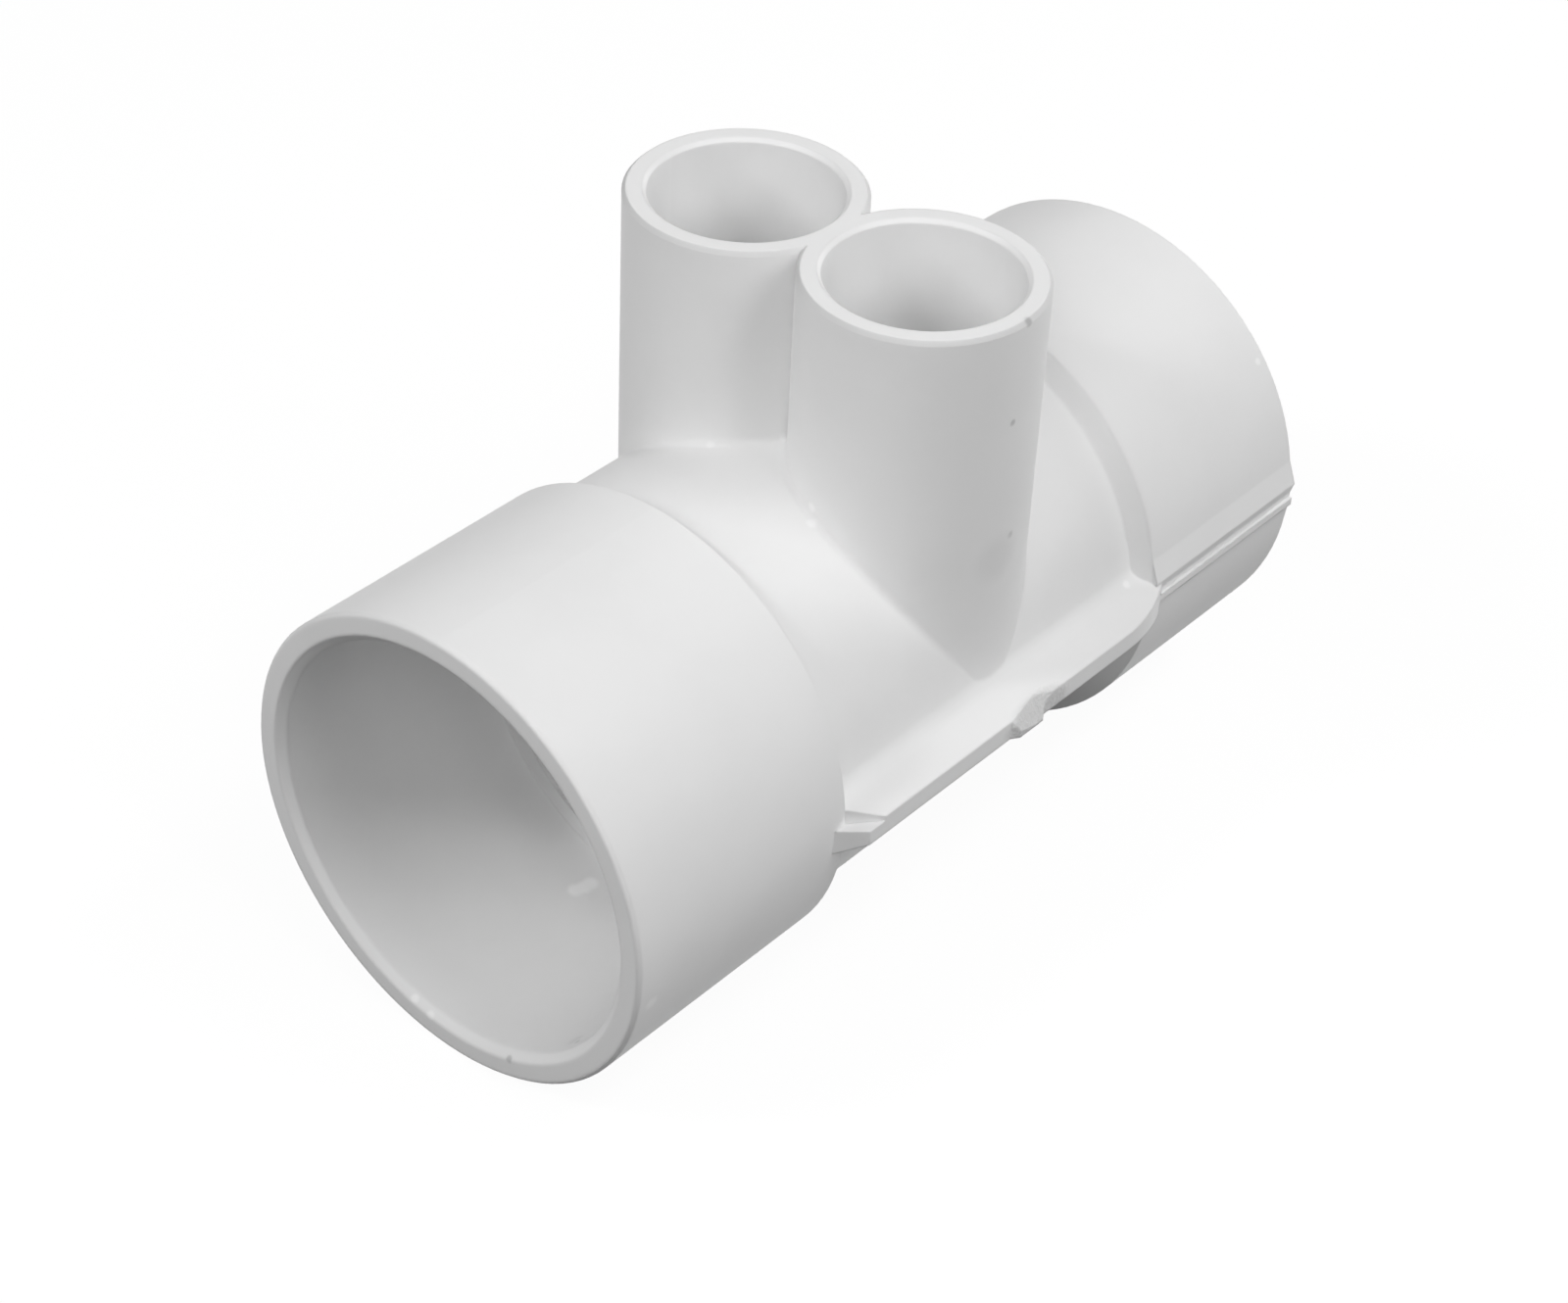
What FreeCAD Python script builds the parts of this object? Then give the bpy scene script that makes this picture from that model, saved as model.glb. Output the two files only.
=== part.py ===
import FreeCAD, Part

import math
import os
from dataclasses import dataclass

import Sketcher
from FreeCAD import Vector

# A moulded pipe manifold: a straight run with a solvent-weld socket in each end, and two smaller
# sockets that stand side by side across its top. It is one piece of rigid white plastic.
#
# Frame: millimetres, X along the run, Z up along the ports. The origin is on the run's axis, at the
# pipe stop of the near socket, which is the one towards -X.

NODE = "manifold_body"

# Driving dimensions
SIZES = {
    # Run: the sockets fit the pipe, and the walls and steps follow from them
    "socket_radius": 30.2,
    "socket_depth": 38.1,
    "socket_lip_chamfer": 1.2,
    "pipe_stop_width": 2.8,
    "hub_wall": 4.3,
    "shoulder_step": 2.5,
    "shoulder_length": 1.9,
    "mouth_edge_break": 0.4,
    "body_half_length": 32.3,
    "near_stop_setback": 3.3,
    "far_stop_lead": 0.9,
    # Ports
    "port_socket_radius": 13.36,
    "port_socket_depth": 25.4,
    "port_lip_chamfer": 0.6,
    "port_stop_width": 2.96,
    "port_wall": 3.29,
    "port_shared_wall": 3.76,
    "port_rise": 29.5,
    "port_rim_break": 0.5,
    "port_foot_round": 0.6,
    # Parting flange along both sides of the body
    "flange_width": 5.9,
    "flange_edge_height": 3.0,
    "flange_root_rise": 4.3,
    "flange_blend": 1.6,
    "flange_blend_radius": 3.2,
    "flange_top_root": 4.7,
    "flange_top_tip": 2.3,
    "flange_under_root": 6.35,
    "flange_under_tip": 0.8,
    "flange_lip_rise": 0.8,
    "flange_overcut": 1.0,
    "flange_far_overrun": 3.6,
    "flange_bow_radius": 25.0,
    "flange_bow_length": 11.9,
    # Parting strip along both sides of the far hub: a crest, a shallow groove and a ridge below it
    "strip_root_rise": 6.7,
    "strip_crest_rise": 3.2,
    "strip_crest_width": 0.7,
    "strip_groove_rise": 1.4,
    "strip_groove_width": 0.15,
    "strip_ridge_height": 1.2,
    "strip_ridge_width": 0.6,
    "strip_root_drop": 3.0,
    # Broken gate on the outer edge of one flange
    "gate_middle": 3.0,
    "gate_near_span": 6.0,
    "gate_far_span": 3.6,
    "gate_bite": 0.85,
    "gate_lean": 1.6,
    "gate_nib_width": 0.8,
    "gate_nib_slant": 1.2,
    "gate_nib_far_span": 1.5,
    "gate_overcut": 1.2,
    "gate_spread": 4,
    # Margin of the cut that leaves one half of the outside for mirroring
    "half_overcut": 1.0,
}

# Radii about the run's axis
HUB_RADIUS = "(Sizes.socket_radius + Sizes.hub_wall)"
BODY_RADIUS = f"({HUB_RADIUS} - Sizes.shoulder_step)"
WATERWAY_RADIUS = "(Sizes.socket_radius - Sizes.pipe_stop_width)"

# Stations along the run
NEAR_FACE = "-Sizes.socket_depth"
NEAR_FOOT = "Sizes.near_stop_setback"
NEAR_SHOULDER = f"({NEAR_FOOT} - Sizes.shoulder_length)"
PORT_PLANE = f"({NEAR_FOOT} + Sizes.body_half_length)"
FAR_FOOT = f"({PORT_PLANE} + Sizes.body_half_length)"
FAR_SHOULDER = f"({FAR_FOOT} + Sizes.shoulder_length)"
FAR_STOP = f"({FAR_FOOT} - Sizes.far_stop_lead)"
FAR_FACE = f"({FAR_STOP} + Sizes.socket_depth)"

# Port radii, heights and the distance of a port's axis from the run's
PORT_RADIUS = "(Sizes.port_socket_radius + Sizes.port_wall)"
PORT_PASSAGE_RADIUS = "(Sizes.port_socket_radius - Sizes.port_stop_width)"
PORT_RIM_HEIGHT = f"({BODY_RADIUS} + Sizes.port_rise)"
PORT_STOP = f"({PORT_RIM_HEIGHT} - Sizes.port_socket_depth)"
PORT_SIDE = "(Sizes.port_socket_radius + Sizes.port_shared_wall / 2)"

# Ends, reach and half height of the flange
FLANGE_START = f"({NEAR_FOOT} - Sizes.flange_under_root)"
FLANGE_END = f"({FAR_FOOT} + Sizes.flange_far_overrun)"
FLANGE_REACH = f"({BODY_RADIUS} + Sizes.flange_width)"
HALF_FLANGE = "(Sizes.flange_edge_height / 2)"

AXIS = "0"


@dataclass(frozen=True)
class Corner:
    """One corner of an outline, with its two distances from the sketch's origin as expressions.

    Where bend is given, the side from this corner to the next one is an arc of that radius. It bulges out of
    an outline that is drawn counter-clockwise, or into it where hollow is set.
    """

    across: str
    up: str
    bend: str = ""
    hollow: bool = False


def make_sheet(document):
    """Writes the driving dimensions into a spreadsheet, one alias for each."""
    sheet = document.addObject("Spreadsheet::Sheet", "Sizes")
    for row, (alias, value) in enumerate(SIZES.items(), start=1):
        sheet.set(f"A{row}", alias)
        sheet.set(f"B{row}", str(value))
        sheet.setAlias(f"B{row}", alias)
    document.recompute()
    return sheet


class ManifoldBuilder:
    """Builds the manifold as one parametric body, feature by feature."""

    def __init__(self, document):
        self.document = document
        self.sheet = make_sheet(document)
        self.body = document.addObject("PartDesign::Body", "ManifoldBody")
        self.body.Label = NODE

    def value(self, expression):
        """Works out an expression of the sheet's aliases as a plain number."""
        return float(self.sheet.evalExpression(expression))

    def origin_plane(self, role):
        """Finds one of the body's own origin planes, such as XY_Plane."""
        return next(item for item in self.body.Origin.OriginFeatures if item.Role == role)

    def side(self, start, end, corner):
        """Draws one side of an outline, and tells whether its own start and end are swapped."""
        if not corner.bend:
            return Part.LineSegment(start, end), False
        radius = self.value(corner.bend)
        chord = end - start
        left = Vector(-chord.y, chord.x, 0).normalize()
        rise = math.sqrt(radius**2 - (chord.Length / 2) ** 2)
        centre = (start + end) / 2 + left * (-rise if corner.hollow else rise)
        first, last = (end, start) if corner.hollow else (start, end)
        begin = math.atan2(first.y - centre.y, first.x - centre.x)
        stop = math.atan2(last.y - centre.y, last.x - centre.x)
        if stop < begin:
            stop += 2 * math.pi
        return Part.ArcOfCircle(Part.Circle(centre, Vector(0, 0, 1), radius), begin, stop), corner.hollow

    def outline(self, name, role, corners, shift=(AXIS, AXIS, AXIS)):
        """Draws a closed outline on an origin plane, every corner bound to the sheet.

        shift moves the sketch's own origin across, up and out of its plane.
        """
        sketch = self.body.newObject("Sketcher::SketchObject", name)
        sketch.AttachmentSupport = [(self.origin_plane(role), "")]
        sketch.MapMode = "FlatFace"
        for letter, distance in zip("xyz", shift):
            if distance != AXIS:
                sketch.setExpression(f".AttachmentOffset.Base.{letter}", distance)
        places = [Vector(self.value(corner.across), self.value(corner.up), 0) for corner in corners]
        starts = []
        ends = []
        for index, corner in enumerate(corners):
            curve, swapped = self.side(places[index], places[(index + 1) % len(places)], corner)
            geometry = sketch.addGeometry(curve, False)
            starts.append((geometry, 2 if swapped else 1))
            ends.append((geometry, 1 if swapped else 2))
        for index, corner in enumerate(corners):
            sketch.addConstraint(Sketcher.Constraint("Coincident", *ends[index - 1], *starts[index]))
            self.place(sketch, starts[index], corner)
            if corner.bend:
                radius = Sketcher.Constraint("Radius", starts[index][0], self.value(corner.bend))
                sketch.setExpression(f"Constraints[{sketch.addConstraint(radius)}]", corner.bend)
        return sketch

    def place(self, sketch, point, corner):
        """Ties one corner to the sketch's axes by its two distances."""
        if corner.across == AXIS:
            sketch.addConstraint(Sketcher.Constraint("PointOnObject", *point, -2))
        else:
            self.bind(sketch, "DistanceX", point, corner.across)
        if corner.up == AXIS:
            sketch.addConstraint(Sketcher.Constraint("PointOnObject", *point, -1))
        else:
            self.bind(sketch, "DistanceY", point, corner.up)

    def bind(self, sketch, kind, point, expression):
        """Adds one distance from the sketch's origin and binds it to the sheet."""
        distance = Sketcher.Constraint(kind, -1, 1, *point, self.value(expression))
        sketch.setExpression(f"Constraints[{sketch.addConstraint(distance)}]", expression)

    def turn(self, kind, name, sketch, axis):
        """Turns an outline through a full circle about one of the sketch's own axes."""
        feature = self.body.newObject(kind, name)
        feature.Profile = sketch
        feature.ReferenceAxis = (sketch, [axis])
        feature.Angle = 360
        self.document.recompute()
        return feature

    def pad(self, name, sketch, length, reverse=False, midplane=False):
        """Extrudes an outline out of its plane."""
        feature = self.body.newObject("PartDesign::Pad", name)
        feature.Profile = sketch
        feature.setExpression("Length", length)
        feature.Reversed = reverse
        feature.Midplane = midplane
        self.document.recompute()
        return feature

    def mirror(self, name, originals):
        """Repeats features on the other side of the run's upright middle plane."""
        feature = self.body.newObject("PartDesign::Mirrored", name)
        feature.Originals = originals
        feature.MirrorPlane = (self.origin_plane("XZ_Plane"), [""])
        self.body.Tip = feature
        self.document.recompute()
        return feature

    def dress_edges(self, kind, name, chosen, size, expression):
        """Rounds or chamfers the edges of the newest shape that the chosen test picks."""
        base = self.body.Tip
        names = [f"Edge{number}" for number, edge in enumerate(base.Shape.Edges, 1) if chosen(edge)]
        feature = self.body.newObject(kind, name)
        feature.Base = (base, names)
        feature.setExpression(size, expression)
        self.document.recompute()

    def is_ring(self, radius, station=None, height=None):
        """Makes a test for a circular edge of one radius at a station or a height."""
        near = 1e-3

        def test(edge):
            curve = edge.Curve
            if not isinstance(curve, Part.Circle) or abs(curve.Radius - self.value(radius)) > near:
                return False
            if station is not None:
                return abs(curve.Center.x - self.value(station)) < near
            return abs(curve.Center.z - self.value(height)) < near

        return test

    def add_run(self):
        """Turns the outside of the run: two hubs with the slimmer body between their shoulders."""
        edge = "Sizes.mouth_edge_break"
        sketch = self.outline(
            "RunOutline",
            "XZ_Plane",
            [
                Corner(NEAR_FACE, AXIS),
                Corner(NEAR_FACE, f"{HUB_RADIUS} - {edge}"),
                Corner(f"{NEAR_FACE} + {edge}", HUB_RADIUS),
                Corner(NEAR_SHOULDER, HUB_RADIUS),
                Corner(NEAR_FOOT, BODY_RADIUS),
                Corner(FAR_FOOT, BODY_RADIUS),
                Corner(FAR_SHOULDER, HUB_RADIUS),
                Corner(f"{FAR_FACE} - {edge}", HUB_RADIUS),
                Corner(FAR_FACE, f"{HUB_RADIUS} - {edge}"),
                Corner(FAR_FACE, AXIS),
            ],
        )
        self.turn("PartDesign::Revolution", "Run", sketch, "H_Axis")

    def add_flange(self):
        """Pads the flange's section, a ramp above and below that runs out of the run in a hollow curve."""
        root_reach = f"sqrt({BODY_RADIUS} ^ 2 - Sizes.flange_root_rise ^ 2)"
        slope = f"((Sizes.flange_root_rise - {HALF_FLANGE}) / ({FLANGE_REACH} - {root_reach}))"
        foot_reach = f"({root_reach} + Sizes.flange_blend)"
        foot_rise = f"(Sizes.flange_root_rise - Sizes.flange_blend * {slope})"
        start_rise = "(Sizes.flange_root_rise + Sizes.flange_blend)"
        start_reach = f"sqrt({BODY_RADIUS} ^ 2 - {start_rise} ^ 2)"
        bend = "Sizes.flange_blend_radius"
        sketch = self.outline(
            "FlangeSection",
            "YZ_Plane",
            [
                Corner(AXIS, start_rise),
                Corner(f"-{start_reach}", start_rise, bend=bend, hollow=True),
                Corner(f"-{foot_reach}", foot_rise),
                Corner(f"-{FLANGE_REACH}", HALF_FLANGE),
                Corner(f"-{FLANGE_REACH}", f"-{HALF_FLANGE}"),
                Corner(f"-{foot_reach}", f"-{foot_rise}", bend=bend, hollow=True),
                Corner(f"-{start_reach}", f"-{start_rise}"),
                Corner(AXIS, f"-{start_rise}"),
            ],
            shift=(AXIS, AXIS, FLANGE_START),
        )
        self.pad("Flange", sketch, f"{FLANGE_END} - {FLANGE_START}")

    def trim_flange(self):
        """Cuts the flange's near end at a slant, its lower lip further out, and bows in its far end."""
        bow_start = f"{FLANGE_END} - Sizes.flange_bow_length"
        bow_drop = "(Sizes.flange_bow_radius - sqrt(Sizes.flange_bow_radius ^ 2 - Sizes.flange_bow_length ^ 2))"
        outside = f"-({FLANGE_REACH} + Sizes.flange_overcut)"
        near_side = f"{FLANGE_START} - Sizes.flange_overcut"
        far_side = f"{FLANGE_END} + Sizes.flange_overcut"

        def beyond_lip(root, tip):
            return [
                Corner(near_side, f"-{BODY_RADIUS}"),
                Corner(near_side, outside),
                Corner(tip, outside),
                Corner(tip, f"-{FLANGE_REACH}"),
                Corner(root, f"-{BODY_RADIUS}"),
            ]

        lower_lip = beyond_lip(FLANGE_START, f"{NEAR_FOOT} - Sizes.flange_under_tip")
        upper_lip = beyond_lip(f"{NEAR_FOOT} - Sizes.flange_top_root", f"{NEAR_FOOT} + Sizes.flange_top_tip")
        far_bow = [
            Corner(bow_start, outside),
            Corner(far_side, outside),
            Corner(far_side, f"-{FLANGE_REACH} + {bow_drop}"),
            Corner(FLANGE_END, f"-{FLANGE_REACH} + {bow_drop}", bend="Sizes.flange_bow_radius", hollow=True),
            Corner(bow_start, f"-{FLANGE_REACH}"),
        ]
        self.trim("FlangeLowerLip", lower_lip, f"-{BODY_RADIUS}")
        self.trim("FlangeUpperLip", upper_lip, "Sizes.flange_lip_rise")
        self.trim("FlangeBow", far_bow, f"-{BODY_RADIUS}")

    def trim(self, name, corners, height):
        """Cuts away everything that stands above a level outline at one height."""
        sketch = self.outline(f"{name}Outline", "XY_Plane", corners, shift=(AXIS, AXIS, height))
        cut = self.body.newObject("PartDesign::Pocket", name)
        cut.Profile = sketch
        cut.Type = "ThroughAll"
        cut.Reversed = True
        self.document.recompute()

    def add_hub_strip(self):
        """Pads the strip along the far hub: a ramp down to its crest, then a groove and a ridge."""
        top_reach = f"sqrt({HUB_RADIUS} ^ 2 - Sizes.strip_root_rise ^ 2)"
        bottom_reach = f"sqrt({HUB_RADIUS} ^ 2 - Sizes.strip_root_drop ^ 2)"
        crest_reach = f"({HUB_RADIUS} + Sizes.strip_crest_width)"
        groove_reach = f"({HUB_RADIUS} + Sizes.strip_groove_width)"
        ridge_reach = f"({HUB_RADIUS} + Sizes.strip_ridge_width)"
        half_ridge = "Sizes.strip_ridge_height / 2"
        sketch = self.outline(
            "StripSection",
            "YZ_Plane",
            [
                Corner(AXIS, "-Sizes.strip_root_drop"),
                Corner(f"-{bottom_reach}", "-Sizes.strip_root_drop"),
                Corner(f"-{groove_reach}", f"-{half_ridge}"),
                Corner(f"-{ridge_reach}", f"-{half_ridge}"),
                Corner(f"-{ridge_reach}", half_ridge),
                Corner(f"-{groove_reach}", half_ridge),
                Corner(f"-{groove_reach}", "Sizes.strip_groove_rise"),
                Corner(f"-{crest_reach}", "Sizes.strip_crest_rise"),
                Corner(f"-{top_reach}", "Sizes.strip_root_rise"),
                Corner(AXIS, "Sizes.strip_root_rise"),
            ],
            shift=(AXIS, AXIS, FAR_SHOULDER),
        )
        self.pad("HubStrip", sketch, f"{FAR_FACE} - {FAR_SHOULDER} - Sizes.mouth_edge_break")

    def add_port(self):
        """Turns the outside of one port about its own axis, down to the middle of the run."""
        sketch = self.outline(
            "PortOutline",
            "YZ_Plane",
            [
                Corner(AXIS, AXIS),
                Corner(PORT_RADIUS, AXIS),
                Corner(PORT_RADIUS, f"{PORT_RIM_HEIGHT} - Sizes.port_rim_break"),
                Corner(f"{PORT_RADIUS} - Sizes.port_rim_break", PORT_RIM_HEIGHT),
                Corner(AXIS, PORT_RIM_HEIGHT),
            ],
            shift=(f"-{PORT_SIDE}", AXIS, PORT_PLANE),
        )
        self.turn("PartDesign::Revolution", "Port", sketch, "V_Axis")

    def round_foot(self):
        """Rounds the crease where the port stands on the body."""
        near = 1e-3
        axis = Vector(self.value(PORT_PLANE), -self.value(PORT_SIDE), 0)
        port_radius = self.value(PORT_RADIUS)
        body_radius = self.value(BODY_RADIUS)

        def in_crease(edge):
            return all(
                abs(math.hypot(point.x - axis.x, point.y - axis.y) - port_radius) < near
                and abs(math.hypot(point.y, point.z) - body_radius) < near
                for point in edge.discretize(5)
            )

        self.dress_edges("PartDesign::Fillet", "PortFoot", in_crease, "Radius", "Sizes.port_foot_round")

    def mirror_half(self):
        """Cuts the outside off at the run's upright middle plane and mirrors what is left."""
        near_side = f"{NEAR_FACE} - Sizes.half_overcut"
        far_side = f"{FAR_FACE} + Sizes.half_overcut"
        bottom = f"-({HUB_RADIUS} + Sizes.half_overcut)"
        top = f"{PORT_RIM_HEIGHT} + Sizes.half_overcut"
        sketch = self.outline(
            "OtherHalf",
            "XZ_Plane",
            [Corner(near_side, bottom), Corner(far_side, bottom), Corner(far_side, top), Corner(near_side, top)],
        )
        cut = self.body.newObject("PartDesign::Pocket", "HalfCut")
        cut.Profile = sketch
        cut.Type = "ThroughAll"
        self.document.recompute()
        both = self.body.newObject("PartDesign::Mirrored", "BothHalves")
        both.TransformMode = "Whole shape"
        both.MirrorPlane = (self.origin_plane("XZ_Plane"), [""])
        self.body.Tip = both
        self.document.recompute()

    def add_gate(self):
        """Adds the nib of the broken gate, then breaks its face and the flange's edge off at a slant."""
        near_end = f"{PORT_PLANE} + Sizes.gate_middle - Sizes.gate_near_span"
        far_end = f"{PORT_PLANE} + Sizes.gate_middle + Sizes.gate_nib_far_span"
        nib_reach = f"{FLANGE_REACH} + Sizes.gate_nib_width"
        nib = self.outline(
            "GateNibOutline",
            "XY_Plane",
            [
                Corner(near_end, f"-{BODY_RADIUS}"),
                Corner(near_end, f"-{FLANGE_REACH}"),
                Corner(f"{near_end} + Sizes.gate_nib_slant", f"-({nib_reach})"),
                Corner(f"{far_end} - Sizes.gate_nib_slant", f"-({nib_reach})"),
                Corner(far_end, f"-{FLANGE_REACH}"),
                Corner(far_end, f"-{BODY_RADIUS}"),
            ],
        )
        self.pad("GateNib", nib, "Sizes.flange_edge_height", midplane=True)
        slope = "Sizes.gate_lean / Sizes.flange_edge_height"
        crest = f"{FLANGE_REACH} - Sizes.gate_bite"
        upper = self.gate_cut(
            "GateBreakTop", f"{crest} - {slope} * Sizes.gate_overcut", f"{HALF_FLANGE} + Sizes.gate_overcut"
        )
        lower = self.gate_cut(
            "GateBreakUnder",
            f"{crest} + {slope} * (Sizes.flange_edge_height + Sizes.gate_overcut)",
            f"-({HALF_FLANGE} + Sizes.gate_overcut)",
        )
        cut = self.body.newObject("PartDesign::SubtractiveLoft", "GateBreak")
        cut.Profile = upper
        cut.Sections = [lower]
        cut.Ruled = True
        self.document.recompute()

    def gate_cut(self, name, crest, height):
        """Draws the broken-off wedge's outline at one height, a shallow vee that opens outwards."""
        middle = f"{PORT_PLANE} + Sizes.gate_middle"
        outer = f"-({crest} + Sizes.gate_spread * Sizes.gate_bite)"
        return self.outline(
            name,
            "XY_Plane",
            [
                Corner(middle, f"-({crest})"),
                Corner(f"{middle} - Sizes.gate_spread * Sizes.gate_near_span", outer),
                Corner(f"{middle} + Sizes.gate_spread * Sizes.gate_far_span", outer),
            ],
            shift=(AXIS, AXIS, height),
        )

    def bore_run(self):
        """Cuts both run sockets down to their pipe stops, and the waterway between them."""
        sketch = self.outline(
            "RunBore",
            "XZ_Plane",
            [
                Corner(NEAR_FACE, AXIS),
                Corner(NEAR_FACE, "Sizes.socket_radius"),
                Corner(AXIS, "Sizes.socket_radius"),
                Corner(AXIS, WATERWAY_RADIUS),
                Corner(FAR_STOP, WATERWAY_RADIUS),
                Corner(FAR_STOP, "Sizes.socket_radius"),
                Corner(FAR_FACE, "Sizes.socket_radius"),
                Corner(FAR_FACE, AXIS),
            ],
        )
        self.turn("PartDesign::Groove", "RunSockets", sketch, "H_Axis")

    def bore_ports(self):
        """Cuts the port sockets to their stops, and the passages from there into the waterway."""
        sketch = self.outline(
            "PortBore",
            "YZ_Plane",
            [
                Corner(AXIS, AXIS),
                Corner(PORT_PASSAGE_RADIUS, AXIS),
                Corner(PORT_PASSAGE_RADIUS, PORT_STOP),
                Corner("Sizes.port_socket_radius", PORT_STOP),
                Corner("Sizes.port_socket_radius", PORT_RIM_HEIGHT),
                Corner(AXIS, PORT_RIM_HEIGHT),
            ],
            shift=(PORT_SIDE, AXIS, PORT_PLANE),
        )
        socket = self.turn("PartDesign::Groove", "PortSocket", sketch, "V_Axis")
        self.mirror("PortSockets", [socket])

    def chamfer_lips(self):
        """Chamfers the inner lips, which lead the pipes in."""
        lips = {
            "SocketLips": (
                "Sizes.socket_lip_chamfer",
                [
                    self.is_ring("Sizes.socket_radius", station=NEAR_FACE),
                    self.is_ring("Sizes.socket_radius", station=FAR_FACE),
                ],
            ),
            "PortLips": (
                "Sizes.port_lip_chamfer",
                [self.is_ring("Sizes.port_socket_radius", height=PORT_RIM_HEIGHT)],
            ),
        }
        for name, (size, rings) in lips.items():

            def on_lip(edge, rings=rings):
                return any(is_lip(edge) for is_lip in rings)

            self.dress_edges("PartDesign::Chamfer", name, on_lip, "Size", size)

    def build(self):
        """Builds the whole manifold and returns its body."""
        self.add_flange()
        self.trim_flange()
        self.add_run()
        self.add_hub_strip()
        self.add_port()
        self.round_foot()
        self.mirror_half()
        self.add_gate()
        self.bore_run()
        self.bore_ports()
        self.chamfer_lips()
        self.document.recompute()
        return self.body


def check(document, body):
    """Stops the run where any feature has failed or the body is not one valid solid."""
    for item in document.Objects:
        if any(word in state for state in item.State for word in ("Invalid", "Error")):
            raise RuntimeError(f"{item.Name} failed: {item.State}")
    shape = body.Shape
    if shape.isNull() or not shape.isValid() or len(shape.Solids) != 1:
        raise RuntimeError(f"{body.Label} is not one valid solid")


def main():
    """Builds the part, checks it and writes its STEP file."""
    os.makedirs("parts", exist_ok=True)
    document = FreeCAD.newDocument("PipeManifold")
    body = ManifoldBuilder(document).build()
    check(document, body)
    body.Shape.exportStep(f"parts/{body.Label}.step")
    box = body.Shape.optimalBoundingBox()
    print(f"{body.Label}: {body.Shape.Volume:.0f} mm3, {len(body.Shape.Faces)} faces")
    print(f"size {box.XLength:.2f} x {box.YLength:.2f} x {box.ZLength:.2f} mm")


main()
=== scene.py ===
"""Looks of a moulded pipe manifold: its white plastic, the studio it stands in and the camera.

Everything is in metres, in the part's own frame: X along the run, Z up along the ports.
"""

import logging
import math
from dataclasses import dataclass, field
from enum import Enum
from functools import reduce

import bmesh
import bpy
from mathutils import Matrix, Vector


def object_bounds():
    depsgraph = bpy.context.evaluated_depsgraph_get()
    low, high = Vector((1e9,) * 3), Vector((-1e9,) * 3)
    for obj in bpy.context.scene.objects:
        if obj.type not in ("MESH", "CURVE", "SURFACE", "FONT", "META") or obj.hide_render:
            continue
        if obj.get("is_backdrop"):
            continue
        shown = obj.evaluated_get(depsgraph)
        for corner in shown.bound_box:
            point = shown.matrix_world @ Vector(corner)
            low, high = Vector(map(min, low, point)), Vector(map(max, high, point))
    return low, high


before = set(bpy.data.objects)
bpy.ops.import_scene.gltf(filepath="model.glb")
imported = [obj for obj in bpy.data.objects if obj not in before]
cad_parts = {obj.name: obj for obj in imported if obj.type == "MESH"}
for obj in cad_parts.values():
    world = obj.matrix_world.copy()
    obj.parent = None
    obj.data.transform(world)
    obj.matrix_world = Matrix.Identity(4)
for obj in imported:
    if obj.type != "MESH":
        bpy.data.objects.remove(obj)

LOG = logging.getLogger("pipe_manifold")
BODY_NODE = "manifold_body"
MM = 0.001
PLASTIC_IOR = 1.5

Colour = tuple[float, float, float, float]
Place = tuple[float, float, float]

LEVEL: Place = (1.0, 1.0, 0.0)
ACROSS_RUN: Place = (0.0, 1.0, 1.0)


class Kind(Enum):
    """Shader nodes that the finishes use."""

    MATH = "ShaderNodeMath"
    VECTOR_MATH = "ShaderNodeVectorMath"
    MIX = "ShaderNodeMix"
    MAP_RANGE = "ShaderNodeMapRange"
    COORDINATES = "ShaderNodeTexCoord"
    SEPARATE = "ShaderNodeSeparateXYZ"
    NOISE = "ShaderNodeTexNoise"
    CELLS = "ShaderNodeTexVoronoi"
    BUMP = "ShaderNodeBump"
    BEVEL = "ShaderNodeBevel"
    PLASTIC = "ShaderNodeBsdfPrincipled"
    MATT = "ShaderNodeBsdfDiffuse"
    GLOW = "ShaderNodeEmission"
    ADD_SHADER = "ShaderNodeAddShader"
    LIGHT_PATH = "ShaderNodeLightPath"
    BACKGROUND = "ShaderNodeBackground"
    SURFACE_OUT = "ShaderNodeOutputMaterial"
    WORLD_OUT = "ShaderNodeOutputWorld"


class Shade:
    """An output socket of a node tree, on which Python's operators add Math nodes."""

    def __init__(self, graph: "Graph", socket: bpy.types.NodeSocket) -> None:
        """Keeps the socket and the graph that it belongs to."""
        self.graph = graph
        self.socket = socket

    def __add__(self, other: "Shade | float") -> "Shade":
        """Adds a value."""
        return self.graph.math("ADD", self, other)

    __radd__ = __add__

    def __mul__(self, other: "Shade | float") -> "Shade":
        """Multiplies by a value."""
        return self.graph.math("MULTIPLY", self, other)

    __rmul__ = __mul__

    def __sub__(self, other: "Shade | float") -> "Shade":
        """Takes a value away."""
        return self.graph.math("SUBTRACT", self, other)

    def __rsub__(self, other: float) -> "Shade":
        """Takes this from a value."""
        return self.graph.math("SUBTRACT", other, self)

    def either(self, other: "Shade | float") -> "Shade":
        """Takes the larger of this and a value."""
        return self.graph.math("MAXIMUM", self, other)

    def fade(self, start: float, end: float) -> "Shade":
        """Eases from 0 to 1 as this goes from start to end, whichever of the two is the larger.

        Args:
            start: The value at which the fade is still 0.
            end: The value at which the fade has reached 1.

        Returns:
            The fade as a value between 0 and 1.
        """
        low, high = min(start, end), max(start, end)
        settings = {"interpolation_type": "SMOOTHSTEP"}
        sockets = {"Value": self, "From Min": low, "From Max": high}
        eased = self.graph.node(Kind.MAP_RANGE, settings, sockets)
        return eased if start <= end else 1.0 - eased


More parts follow.
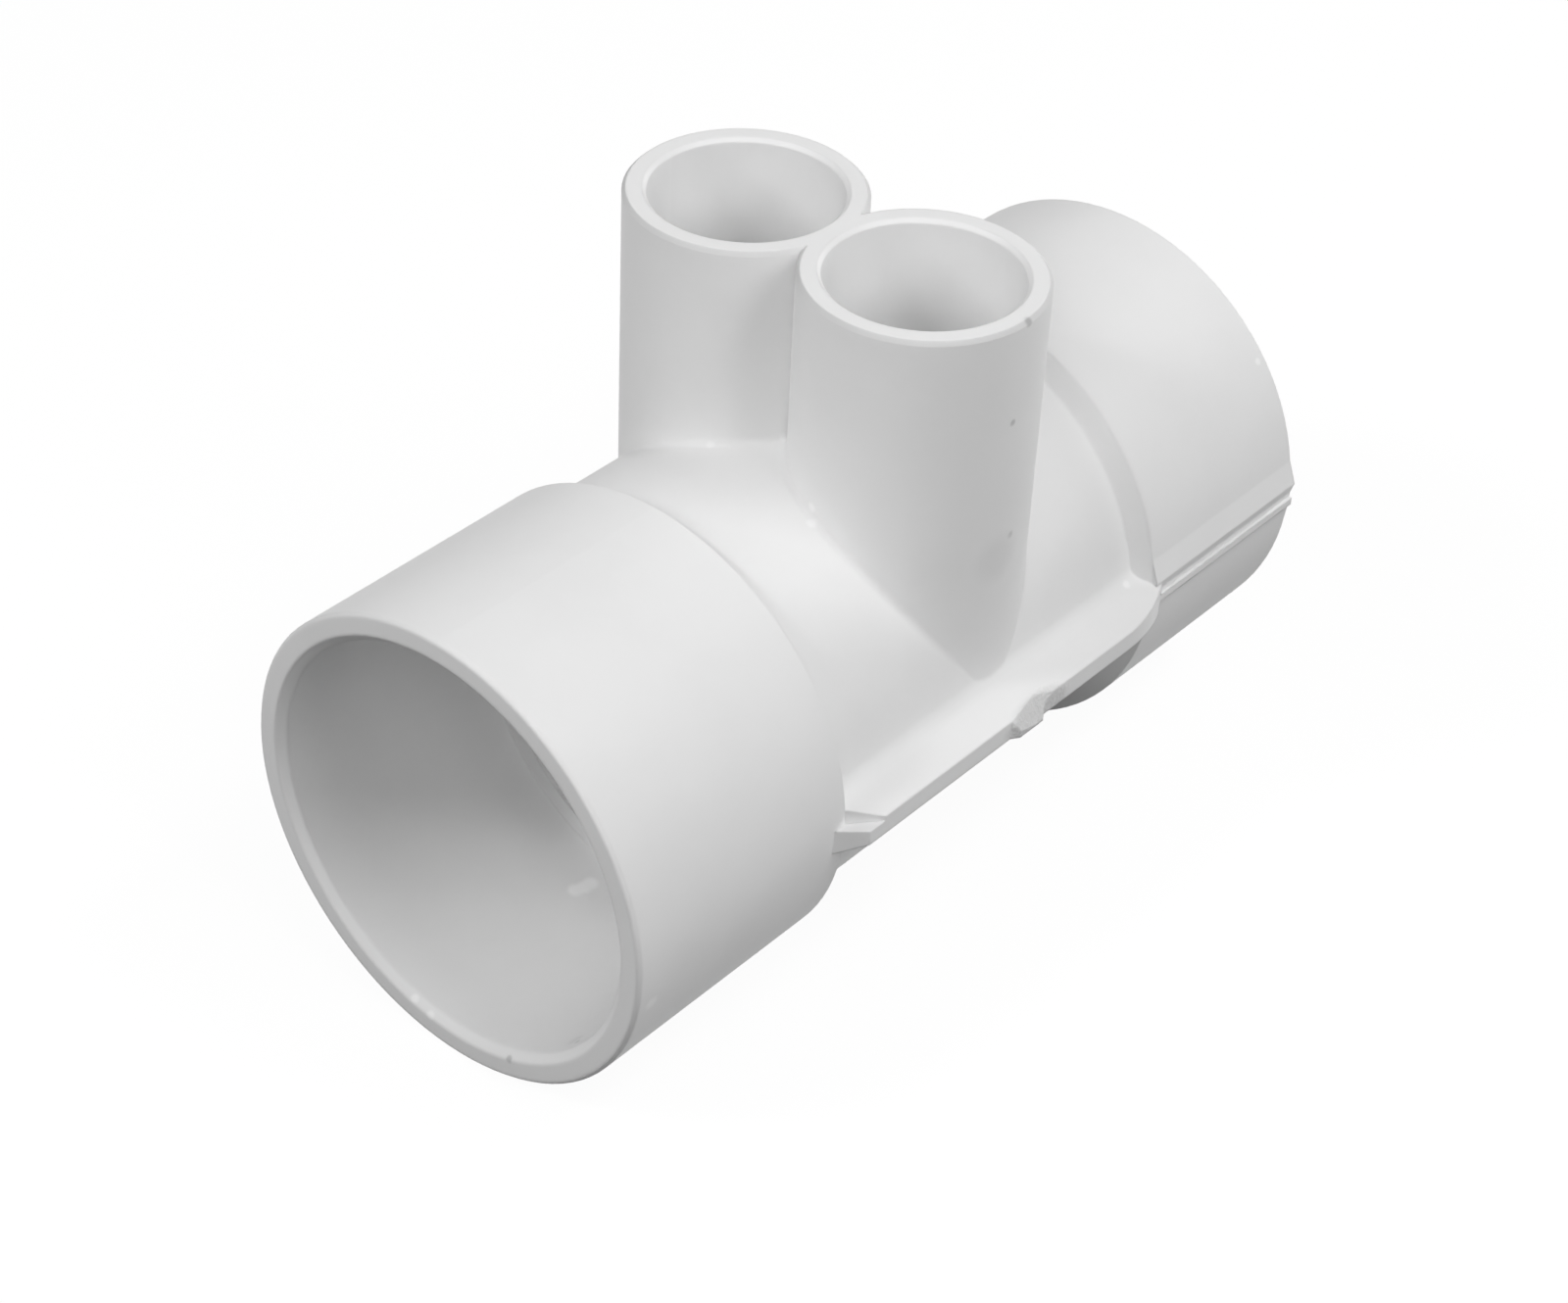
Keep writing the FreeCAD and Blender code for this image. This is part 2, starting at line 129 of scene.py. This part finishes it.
class Graph:
    """The node tree of one material or of the world."""

    def __init__(self, owner: bpy.types.Material | bpy.types.World) -> None:
        """Empties the owner's node tree, ready for new nodes."""
        owner.use_nodes = True
        self.tree = owner.node_tree
        self.tree.nodes.clear()

    def node(
        self,
        kind: Kind,
        settings: dict[str, object] | None = None,
        sockets: dict[str | int, object] | None = None,
        output: str | int = 0,
    ) -> Shade:
        """Adds one node.

        Args:
            kind: The node's type.
            settings: The node's own settings, such as an operation, which are set first.
            sockets: A value or a link for each input, by its name or number.
            output: The name or number of the output that is handed back.

        Returns:
            The chosen output, or the first input of a node that has no output.
        """
        made = self.tree.nodes.new(kind.value)
        for name, value in (settings or {}).items():
            setattr(made, name, value)
        for name, value in (sockets or {}).items():
            if isinstance(value, Shade):
                self.tree.links.new(value.socket, made.inputs[name])
            else:
                made.inputs[name].default_value = value
        return Shade(self, made.outputs[output] if made.outputs else made.inputs[0])

    def math(self, operation: str, *values: "Shade | float") -> Shade:
        """Adds a Math node on one, two or three values."""
        return self.node(Kind.MATH, {"operation": operation}, dict(enumerate(values)))

    def vector(self, operation: str, *values: object, output: str = "Vector") -> Shade:
        """Adds a Vector Math node, and hands back the output asked for."""
        settings = {"operation": operation}
        return self.node(Kind.VECTOR_MATH, settings, dict(enumerate(values)), output)

    def axis(self, place: Shade, name: str) -> Shade:
        """Picks the X, Y or Z coordinate out of a place, or a channel out of a colour."""
        return self.node(Kind.SEPARATE, {}, {0: place}, name)

    def bump(self, height: Shade, depth: float, normal: Shade) -> Shade:
        """Bends a normal as a relief would that is depth metres high where its height is 1."""
        sockets = {"Strength": 1.0, "Distance": depth, "Height": height, "Normal": normal}
        return self.node(Kind.BUMP, {}, sockets)

    def blend(self, share: "Shade | float", start: object, end: object) -> Shade:
        """Mixes two colours by a share between 0 and 1."""
        colour_a, colour_b, result = 6, 7, 2
        sockets = {0: share, colour_a: start, colour_b: end}
        return self.node(Kind.MIX, {"data_type": "RGBA"}, sockets, result)

    def blend_vectors(self, share: "Shade | float", start: object, end: object) -> Shade:
        """Mixes two vectors by a share between 0 and 1."""
        vector_a, vector_b, result = 4, 5, 1
        sockets = {0: share, vector_a: start, vector_b: end}
        return self.node(Kind.MIX, {"data_type": "VECTOR"}, sockets, result)

    def noise(self, place: Shade, grain: float, detail: float, spread: float = 0.5) -> Shade:
        """Adds a soft noise.

        Args:
            place: The place as coordinates.
            grain: The size of its features in metres.
            detail: How many finer layers lie over the broad one.
            spread: How strong each finer layer is beside the one above it.

        Returns:
            The noise as a value between 0 and 1.
        """
        sockets = {"Vector": place, "Scale": 1.0 / grain, "Detail": detail, "Roughness": spread}
        return self.node(Kind.NOISE, {}, sockets)


def grey(level: float) -> Colour:
    """Makes a neutral colour of one linear level."""
    return (level, level, level, 1.0)


@dataclass(frozen=True)
class SpotOrPaintedHighlight:
    """One small spot laid into the colour, dark or pale: a speck, nick or smudge, or a painted
    highlight.

    Attributes:
        place: The spot's centre in the part's frame.
        radius: How far the spot reaches.
        level: The linear grey level at its centre.
        core: The share of the radius within which it has its full strength.
    """

    place: Place
    radius: float
    level: float
    core: float = 0.3

    def over(self, graph: Graph, place: Shade, colour: Shade) -> Shade:
        """Lays the spot or painted highlight over a colour.

        Args:
            graph: The finish's node tree.
            place: The place as coordinates.
            colour: The colour without the spot.

        Returns:
            The colour with the spot.
        """
        distance = graph.vector("DISTANCE", place, self.place, output="Value")
        share = distance.fade(self.radius, self.radius * self.core)
        return graph.blend(share, colour, grey(self.level))


NEAR_MOUTH_BOX = ((-42 * MM, -38 * MM, -38 * MM), (-35 * MM, 38 * MM, 38 * MM))
NEAR_SHOULDER_BOX = ((-2 * MM, -38 * MM, 9 * MM), (6 * MM, 38 * MM, 38 * MM))
FAR_SHOULDER_BOX = ((65 * MM, -38 * MM, 9 * MM), (74 * MM, 38 * MM, 38 * MM))
PORT_FOOT_BOX = ((12 * MM, -32 * MM, 9 * MM), (60 * MM, 32 * MM, 38 * MM))

# Single spots laid into the colour: real specks, nicks and smudges, and pale painted highlights
# where the gloss catches the light.
SPOTS_AND_PAINTED_HIGHLIGHTS = (
    # two specks, a smudge and a nicked rim on the right port
    SpotOrPaintedHighlight((34.6 * MM, -31.8 * MM, 46.6 * MM), 0.7 * MM, 0.62),
    SpotOrPaintedHighlight((36.5 * MM, -31.9 * MM, 27.8 * MM), 0.8 * MM, 0.62),
    SpotOrPaintedHighlight((34.2 * MM, -31.8 * MM, 25.2 * MM), 5.0 * MM, 0.81),
    SpotOrPaintedHighlight((36.1 * MM, -31.6 * MM, 61.1 * MM), 0.9 * MM, 0.60),
    # painted highlights: pale spots where the ports' foot fillets catch the light
    SpotOrPaintedHighlight((20.6 * MM, 7.3 * MM, 31.3 * MM), 0.9 * MM, 0.92),
    SpotOrPaintedHighlight((27.8 * MM, 0.4 * MM, 32.3 * MM), 0.9 * MM, 0.92),
    SpotOrPaintedHighlight((19.3 * MM, -11.7 * MM, 31.1 * MM), 1.0 * MM, 0.93),
    SpotOrPaintedHighlight((18.4 * MM, -12.6 * MM, 29.4 * MM), 1.0 * MM, 0.93),
    # painted highlights: glints at the flange's end and on the far hub
    SpotOrPaintedHighlight((65.8 * MM, -32.5 * MM, 4.1 * MM), 0.9 * MM, 0.95),
    SpotOrPaintedHighlight((103.2 * MM, -26.8 * MM, 21.7 * MM), 0.8 * MM, 0.95),
    # a painted highlight for the long glint off a scratch in the near bore
    SpotOrPaintedHighlight((-7.4 * MM, 5.5 * MM, -29.7 * MM), 1.5 * MM, 1.0),
    SpotOrPaintedHighlight((-6.1 * MM, 5.1 * MM, -29.8 * MM), 1.5 * MM, 1.0),
    SpotOrPaintedHighlight((-4.8 * MM, 5.0 * MM, -29.8 * MM), 1.5 * MM, 1.0),
    # two painted highlights (glints), a nick, a speck and a smudge on the near lip, and a pale spot
    # below the hub
    SpotOrPaintedHighlight((-37.6 * MM, 6.6 * MM, -30.2 * MM), 0.9 * MM, 0.96),
    SpotOrPaintedHighlight((-37.9 * MM, 3.4 * MM, -31.0 * MM), 0.9 * MM, 0.96),
    SpotOrPaintedHighlight((-38.0 * MM, -11.5 * MM, -29.1 * MM), 0.8 * MM, 0.62),
    SpotOrPaintedHighlight((-35.0 * MM, -21.1 * MM, -21.6 * MM), 0.6 * MM, 0.62),
    SpotOrPaintedHighlight((-34.1 * MM, -19.9 * MM, -22.7 * MM), 1.6 * MM, 0.79),
    SpotOrPaintedHighlight((-35.2 * MM, -33.9 * MM, -6.1 * MM), 1.4 * MM, 0.95),
)


@dataclass(frozen=True)
class SoftEdges:
    """Edges that look rounder than the rest.

    Attributes:
        radius: The radius to which they look rounded.
        boxes: The lowest and the highest corner of each box that holds such edges.
    """

    radius: float
    boxes: tuple[tuple[Place, Place], ...]


@dataclass(frozen=True)
class PortRim:
    """Where the narrow break round the outside of the two ports' rims lies.

    Attributes:
        place: How far each port's axis stands along the run and to its side.
        radius: The radius of a port's outside.
        height: The height of the rims.
        width: The width of the break.
        blur: Over what height the break's lower end fades in, twice that of its upper end.
        inset: How far inside a port's outside the break starts, and how far inside it is full.
        evenness: How far the break looks like the wall below it, 0 not at all and 1 wholly.
    """

    place: tuple[float, float] = (35.6 * MM, 15.24 * MM)
    radius: float = 16.65 * MM
    height: float = 61.5 * MM
    width: float = 0.5 * MM
    blur: float = 0.05 * MM
    inset: tuple[float, float] = (1.0 * MM, 0.75 * MM)
    evenness: float = 0.70

    def share(self, graph: Graph, place: Shade) -> Shade:
        """Tells how far a place is on the break.

        Args:
            graph: The finish's node tree.
            place: The place as coordinates.

        Returns:
            0 away from the break and the evenness on it.
        """
        low = self.height - self.width
        height = graph.axis(place, "Z")
        band = height.fade(low, low + self.blur)
        band = band * height.fade(self.height, self.height - self.blur / 2)
        for side in (-1, 1):
            axis = (self.place[0], side * self.place[1], 0.0)
            spoke = graph.vector("MULTIPLY", graph.vector("SUBTRACT", place, axis), LEVEL)
            reach = graph.vector("LENGTH", spoke, output="Value")
            band = band * reach.fade(self.radius - self.inset[0], self.radius - self.inset[1])
        return band * self.evenness


@dataclass(frozen=True)
class GateScar:
    """The broken face of the moulding gate, a narrow patch on the outer edge of one flange.

    Attributes:
        place: Its centre.
        reach: How far it goes to each side along the run.
        width: How far it goes to each side across the run.
        outer: Where its edge starts to fade in, as a share of its width.
        inner: Where it has its full strength, as a share of its width.
        level: Linear grey level of the broken plastic.
        roughness: Its roughness.
        grain: The size of its grains.
        depth: The depth of its relief.
    """

    place: Place = (38.6 * MM, -37.6 * MM, 0.0)
    reach: float = 7.0 * MM
    width: float = 2.4 * MM
    outer: float = 1.15
    inner: float = 0.75
    level: float = 0.80
    roughness: float = 0.55
    grain: float = 0.55 * MM
    depth: float = 0.35 * MM

    def share(self, graph: Graph, place: Shade) -> Shade:
        """Finds the broken face: 1 on it, 0 away from it."""
        offset = graph.vector("SUBTRACT", place, self.place)
        rounded = graph.vector("MULTIPLY", offset, (self.width / self.reach, 1.0, 1.0))
        distance = graph.vector("LENGTH", rounded, output="Value")
        return distance.fade(self.width * self.outer, self.width * self.inner)


@dataclass(frozen=True)
class Specks:
    """Tiny dark specks in the plastic, one in some of the cells of a pattern.

    Attributes:
        spacing: The size of a cell.
        radius: The radius of a speck.
        core: The share of the radius within which it has its full strength.
        draws: The draw, from 0 to 1, up to which a cell has no speck, and that of a full speck.
        strength: How strongly a speck covers the plastic.
        level: Linear grey level of a speck.
    """

    spacing: float = 9.0 * MM
    radius: float = 0.17 * MM
    core: float = 0.4
    draws: tuple[float, float] = (0.80, 0.82)
    strength: float = 0.8
    level: float = 0.42

    def share(self, graph: Graph, place: Shade) -> Shade:
        """Finds the specks: up to their strength on them, 0 between them."""
        settings = {"feature": "F1"}
        sockets = {"Vector": place, "Scale": 1.0 / self.spacing}
        distance = graph.node(Kind.CELLS, settings, sockets, "Distance")
        chance = graph.axis(graph.node(Kind.CELLS, settings, sockets, "Color"), "X")
        reach = self.radius / self.spacing
        return distance.fade(reach, reach * self.core) * chance.fade(*self.draws) * self.strength


@dataclass(frozen=True)
class WhitePlastic:
    """Half-gloss white moulded plastic with flow clouding, faint waves and a fine orange peel.

    Attributes:
        level: Linear grey level of the clean plastic.
        cloud_level: Grey level where flow clouding dulls it most.
        cloud_grain: The size of the clouds.
        cloud_range: The values of their noise at which the clouds start and at which they are full.
        specular: How strongly the skin reflects, 0.5 for a full gloss.
        roughness: Roughness of the polished skin.
        edge_radius: Radius to which every edge looks rounded.
        edge_samples: Rays with which the rounding is worked out.
        edge_fade: Over what length one rounding goes over into the next.
        soft_edges: Edges that look rounder than the rest.
        rim: The break round the ports' rims.
        shoulder_evenness: How far the near hub's shoulder looks like the hub beside it.
        wave_grain: The length of the moulded skin's waves.
        wave_depth: Their depth.
        peel_grain: The size of the orange peel.
        peel_depth: Its depth.
        scar: The broken gate's face.
        specks: The scattered specks.
        spots_and_highlights: Single specks, nicks and smudges, and painted highlights laid in as
            pale spots.
    """

    level: float = 0.87
    cloud_level: float = 0.85
    cloud_grain: float = 22.0 * MM
    cloud_range: tuple[float, float] = (0.38, 0.72)
    specular: float = 0.12
    roughness: float = 0.36
    edge_radius: float = 0.45 * MM
    edge_samples: int = 3
    edge_fade: float = 1.0 * MM
    soft_edges: tuple[SoftEdges, ...] = (
        SoftEdges(0.9 * MM, (NEAR_MOUTH_BOX,)),
        SoftEdges(1.5 * MM, (FAR_SHOULDER_BOX, PORT_FOOT_BOX)),
    )
    rim: PortRim = PortRim()
    shoulder_evenness: float = 0.92
    wave_grain: float = 14.0 * MM
    wave_depth: float = 0.16 * MM
    peel_grain: float = 1.6 * MM
    peel_depth: float = 0.004 * MM
    scar: GateScar = GateScar()
    specks: Specks = Specks()
    # single specks, nicks and smudges, and painted highlights as pale spots
    spots_and_highlights: tuple[SpotOrPaintedHighlight, ...] = SPOTS_AND_PAINTED_HIGHLIGHTS

    def material(self) -> bpy.types.Material:
        """Builds the finish as a node material.

        Returns:
            The new material.
        """
        material = bpy.data.materials.new("white_plastic_finish")
        graph = Graph(material)
        place = graph.node(Kind.COORDINATES, output="Object")
        scar = self.scar.share(graph, place)
        sockets = {
            "Base Color": self.colour(graph, place, scar),
            "Roughness": self.roughness + scar * (self.scar.roughness - self.roughness),
            "IOR": PLASTIC_IOR,
            "Specular IOR Level": self.specular,
            "Normal": self.relief(graph, place, scar),
        }
        shader = graph.node(Kind.PLASTIC, {}, sockets)
        graph.node(Kind.SURFACE_OUT, {}, {"Surface": shader})
        return material

    def colour(self, graph: Graph, place: Shade, scar: Shade) -> Shade:
        """Mixes the colour: clean plastic, clouds, scattered specks, the broken face, and single
        spots that are specks, nicks, smudges or painted highlights.

        Args:
            graph: The finish's node tree.
            place: The place as coordinates.
            scar: Where the broken face is.

        Returns:
            The colour.
        """
        clouds = graph.noise(place, self.cloud_grain, detail=4.0, spread=0.6)
        clouds = clouds.fade(*self.cloud_range)
        colour = graph.blend(clouds, grey(self.level), grey(self.cloud_level))
        colour = graph.blend(self.specks.share(graph, place), colour, grey(self.specks.level))
        colour = graph.blend(scar, colour, grey(self.scar.level))
        # single specks, nicks and smudges, and the painted highlights
        for spot_or_highlight in self.spots_and_highlights:
            colour = spot_or_highlight.over(graph, place, colour)
        return colour

    def rounded(self, graph: Graph, radius: float) -> Shade:
        """Gives the normals that the surface would have with its edges rounded."""
        return graph.node(Kind.BEVEL, {"samples": self.edge_samples}, {"Radius": radius})

    def within(self, graph: Graph, place: Shade, low: Place, high: Place) -> Shade:
        """Tells how far inside a box a place is.

        Args:
            graph: The finish's node tree.
            place: The place as coordinates.
            low: The box's lowest corner.
            high: The box's highest corner.

        Returns:
            0 outside the box, rising to 1 inside it.
        """
        shares = []
        for axis, start, end in zip("XYZ", low, high):
            along = graph.axis(place, axis)
            shares.append(along.fade(start, start + self.edge_fade))
            shares.append(along.fade(end, end - self.edge_fade))
        return reduce(Shade.__mul__, shares)

    def edges(self, graph: Graph, place: Shade) -> Shade:
        """Rounds the edges, and evens out the ports' rims and the near hub's shoulder.

        Args:
            graph: The finish's node tree.
            place: The place as coordinates.

        Returns:
            The normal.
        """
        edge = self.rounded(graph, self.edge_radius)
        for soft in self.soft_edges:
            shares = [self.within(graph, place, low, high) for low, high in soft.boxes]
            rounder = self.rounded(graph, soft.radius)
            edge = graph.blend_vectors(reduce(Shade.either, shares), edge, rounder)
        outward = graph.vector("MULTIPLY", edge, LEVEL)
        edge = graph.blend_vectors(self.rim.share(graph, place), edge, outward)
        across = graph.vector("MULTIPLY", edge, ACROSS_RUN)
        shoulder = self.within(graph, place, *NEAR_SHOULDER_BOX) * self.shoulder_evenness
        return graph.vector("NORMALIZE", graph.blend_vectors(shoulder, edge, across))

    def relief(self, graph: Graph, place: Shade, scar: Shade) -> Shade:
        """Stacks the relief: rounded edges, broad waves, orange peel and the broken face.

        Args:
            graph: The finish's node tree.
            place: The place as coordinates.
            scar: Where the broken face is.

        Returns:
            The normal.
        """
        waves = graph.noise(place, self.wave_grain, detail=1.0)
        peel = graph.noise(place, self.peel_grain, detail=2.0)
        grains = graph.noise(place, self.scar.grain, detail=5.0, spread=0.65) * scar
        normal = graph.bump(waves, self.wave_depth, self.edges(graph, place))
        normal = graph.bump(peel, self.peel_depth, normal)
        return graph.bump(grains, self.scar.depth, normal)


@dataclass(frozen=True)
class PaleFloor:
    """Matt paper with a glow, which looks white to the camera and keeps the object's shadow.

    Attributes:
        level: Linear grey level at which the paper sends light back.
        glow: How strongly it glows where it is seen, which comes to white with the lamps' light.
    """

    level: float = 0.08
    glow: float = 0.94

    def material(self) -> bpy.types.Material:
        """Builds the paper as a node material.

        Returns:
            The new material.
        """
        material = bpy.data.materials.new("pale_paper")
        graph = Graph(material)
        paper = graph.node(Kind.MATT, {}, {"Color": grey(self.level)})
        strength = seen_directly(graph) * self.glow
        glow = graph.node(Kind.GLOW, {}, {"Color": grey(1.0), "Strength": strength})
        surface = graph.node(Kind.ADD_SHADER, {}, {0: paper, 1: glow})
        graph.node(Kind.SURFACE_OUT, {}, {"Surface": surface})
        return material


def seen_directly(graph: Graph) -> Shade:
    """Tells rays from the camera, or seen in a gloss or through a glass, from all others."""
    camera = graph.node(Kind.LIGHT_PATH, output="Is Camera Ray")
    gloss = graph.node(Kind.LIGHT_PATH, output="Is Glossy Ray")
    glass = graph.node(Kind.LIGHT_PATH, output="Is Transmission Ray")
    return camera.either(gloss).either(glass)


@dataclass(frozen=True)
class Lamp:
    """One soft square lamp that looks at the object.

    Attributes:
        name: The lamp's name.
        azimuth: Where it stands round the object, in degrees, 0 towards -Y and 90 towards +X.
        elevation: Its height above the horizon in degrees.
        size: The side of its square, in metres.
        power: Its power in watts.
        distance: How far it stands from the object, in metres.
    """

    name: str
    azimuth: float
    elevation: float
    size: float
    power: float
    distance: float = 1.0

    def build(self, target: Vector) -> None:
        """Hangs the lamp and turns it to the target."""
        light = bpy.data.lights.new(self.name, "AREA")
        light.size = self.size
        light.energy = self.power
        lamp = bpy.data.objects.new(self.name, light)
        turn, lift = math.radians(self.azimuth), math.radians(self.elevation)
        level = math.cos(lift)
        back = Vector((math.sin(turn) * level, -math.cos(turn) * level, math.sin(lift)))
        facing = back.to_track_quat("Z", "Y").to_matrix().to_4x4()
        lamp.matrix_world = Matrix.Translation(target + back * self.distance) @ facing
        bpy.context.scene.collection.objects.link(lamp)


@dataclass(frozen=True)
class Studio:
    """The floor, the lamps and the world round the object.

    Attributes:
        floor_size: The side of the square floor, in metres.
        paper: The floor's finish.
        lamps: The soft lamps.
    """

    floor_size: float = 8.0
    paper: PaleFloor = PaleFloor()
    lamps: tuple[Lamp, ...] = (
        Lamp("key_lamp", 24.0, 58.0, 0.20, 1.35),
        Lamp("cross_lamp", 45.0, 55.0, 0.12, 0.55),
        Lamp("top_lamp", -20.0, 58.0, 0.45, 1.1),
        Lamp("front_lamp", 0.0, 35.0, 0.45, 2.75),
        Lamp("near_lamp", -56.0, 36.0, 0.45, 1.9),
        Lamp("low_lamp", 30.0, 12.0, 0.45, 0.6),
        Lamp("bore_lamp", -111.0, 44.0, 0.12, 1.35),
        Lamp("back_lamp", -120.0, 35.0, 0.45, 3.2),
        Lamp("side_lamp", 88.0, 12.0, 0.45, 2.7),
        Lamp("rear_lamp", 120.0, 35.0, 0.45, 0.5),
    )

    def build(self, low: Vector, high: Vector) -> None:
        """Sets the studio up round a box.

        Args:
            low: The lowest corner of the object.
            high: The highest corner of the object.
        """
        centre = (low + high) / 2
        self.lay_floor(centre, low.z)
        for lamp in self.lamps:
            lamp.build(centre)
            LOG.info("lamp %s: %.1f W", lamp.name, lamp.power)
        self.light_world()

    def lay_floor(self, centre: Vector, height: float) -> None:
        """Lays a plain square floor under the object."""
        grid = bmesh.new()
        bmesh.ops.create_grid(grid, x_segments=1, y_segments=1, size=self.floor_size / 2)
        bmesh.ops.translate(grid, verts=grid.verts, vec=(centre.x, centre.y, height))
        mesh = bpy.data.meshes.new("floor")
        grid.to_mesh(mesh)
        grid.free()
        floor = bpy.data.objects.new("floor", mesh)
        mesh.materials.append(self.paper.material())
        bpy.context.scene.collection.objects.link(floor)
        floor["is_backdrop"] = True
        LOG.info("floor: %.1f m square", self.floor_size)

    def light_world(self) -> None:
        """Makes the world white where it is seen, and dark to what it would otherwise light."""
        world = bpy.data.worlds.new("studio_world")
        bpy.context.scene.world = world
        graph = Graph(world)
        sockets = {"Color": grey(1.0), "Strength": seen_directly(graph)}
        sky = graph.node(Kind.BACKGROUND, {}, sockets)
        graph.node(Kind.WORLD_OUT, {}, {"Surface": sky})


@dataclass(frozen=True)
class Viewpoint:
    """The camera at the photograph's viewing angle.

    Attributes:
        place: Where the camera stands.
        target: The point in the middle of its picture.
        roll: How far it is turned about its own line of sight, in degrees.
        lens: Its focal length in millimetres.
        sensor: The width of its sensor in millimetres.
        clip: The nearest and the furthest distance that it sees, in metres.
    """

    place: Place = (-0.26437, -0.23769, 0.28886)
    target: Place = (0.01054, -0.01542, 0.01398)
    roll: float = 2.91
    lens: float = 77.55
    sensor: float = 36.0
    clip: tuple[float, float] = (0.01, 100.0)

    def build(self) -> None:
        """Makes the camera and gives it to the scene."""
        data = bpy.data.cameras.new("camera")
        data.sensor_width = self.sensor
        data.sensor_fit = "HORIZONTAL"
        data.lens = self.lens
        data.clip_start, data.clip_end = self.clip
        camera = bpy.data.objects.new("camera", data)
        back = (Vector(self.place) - Vector(self.target)).normalized()
        facing = back.to_track_quat("Z", "Y").to_matrix().to_4x4()
        roll = Matrix.Rotation(math.radians(self.roll), 4, "Z")
        camera.matrix_world = Matrix.Translation(self.place) @ facing @ roll
        bpy.context.scene.collection.objects.link(camera)
        bpy.context.scene.camera = camera


@dataclass
class Manifold:
    """The moulded fitting, one piece."""

    finish: WhitePlastic = field(default_factory=WhitePlastic)

    def dress(self) -> None:
        """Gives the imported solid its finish."""
        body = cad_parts[BODY_NODE]
        body.material_slots[0].material = self.finish.material()
        LOG.info("%s: %d faces, white plastic", body.name, len(body.data.polygons))


def main() -> None:
    """Dresses the manifold, sets the studio up and places the camera."""
    logging.basicConfig(level=logging.INFO, format="%(name)s: %(message)s")
    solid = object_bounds()
    Manifold().dress()
    Studio().build(*solid)
    Viewpoint().build()
    bpy.context.scene.view_settings.view_transform = "Standard"
    bpy.context.view_layer.update()


if __name__ == "__main__":
    main()
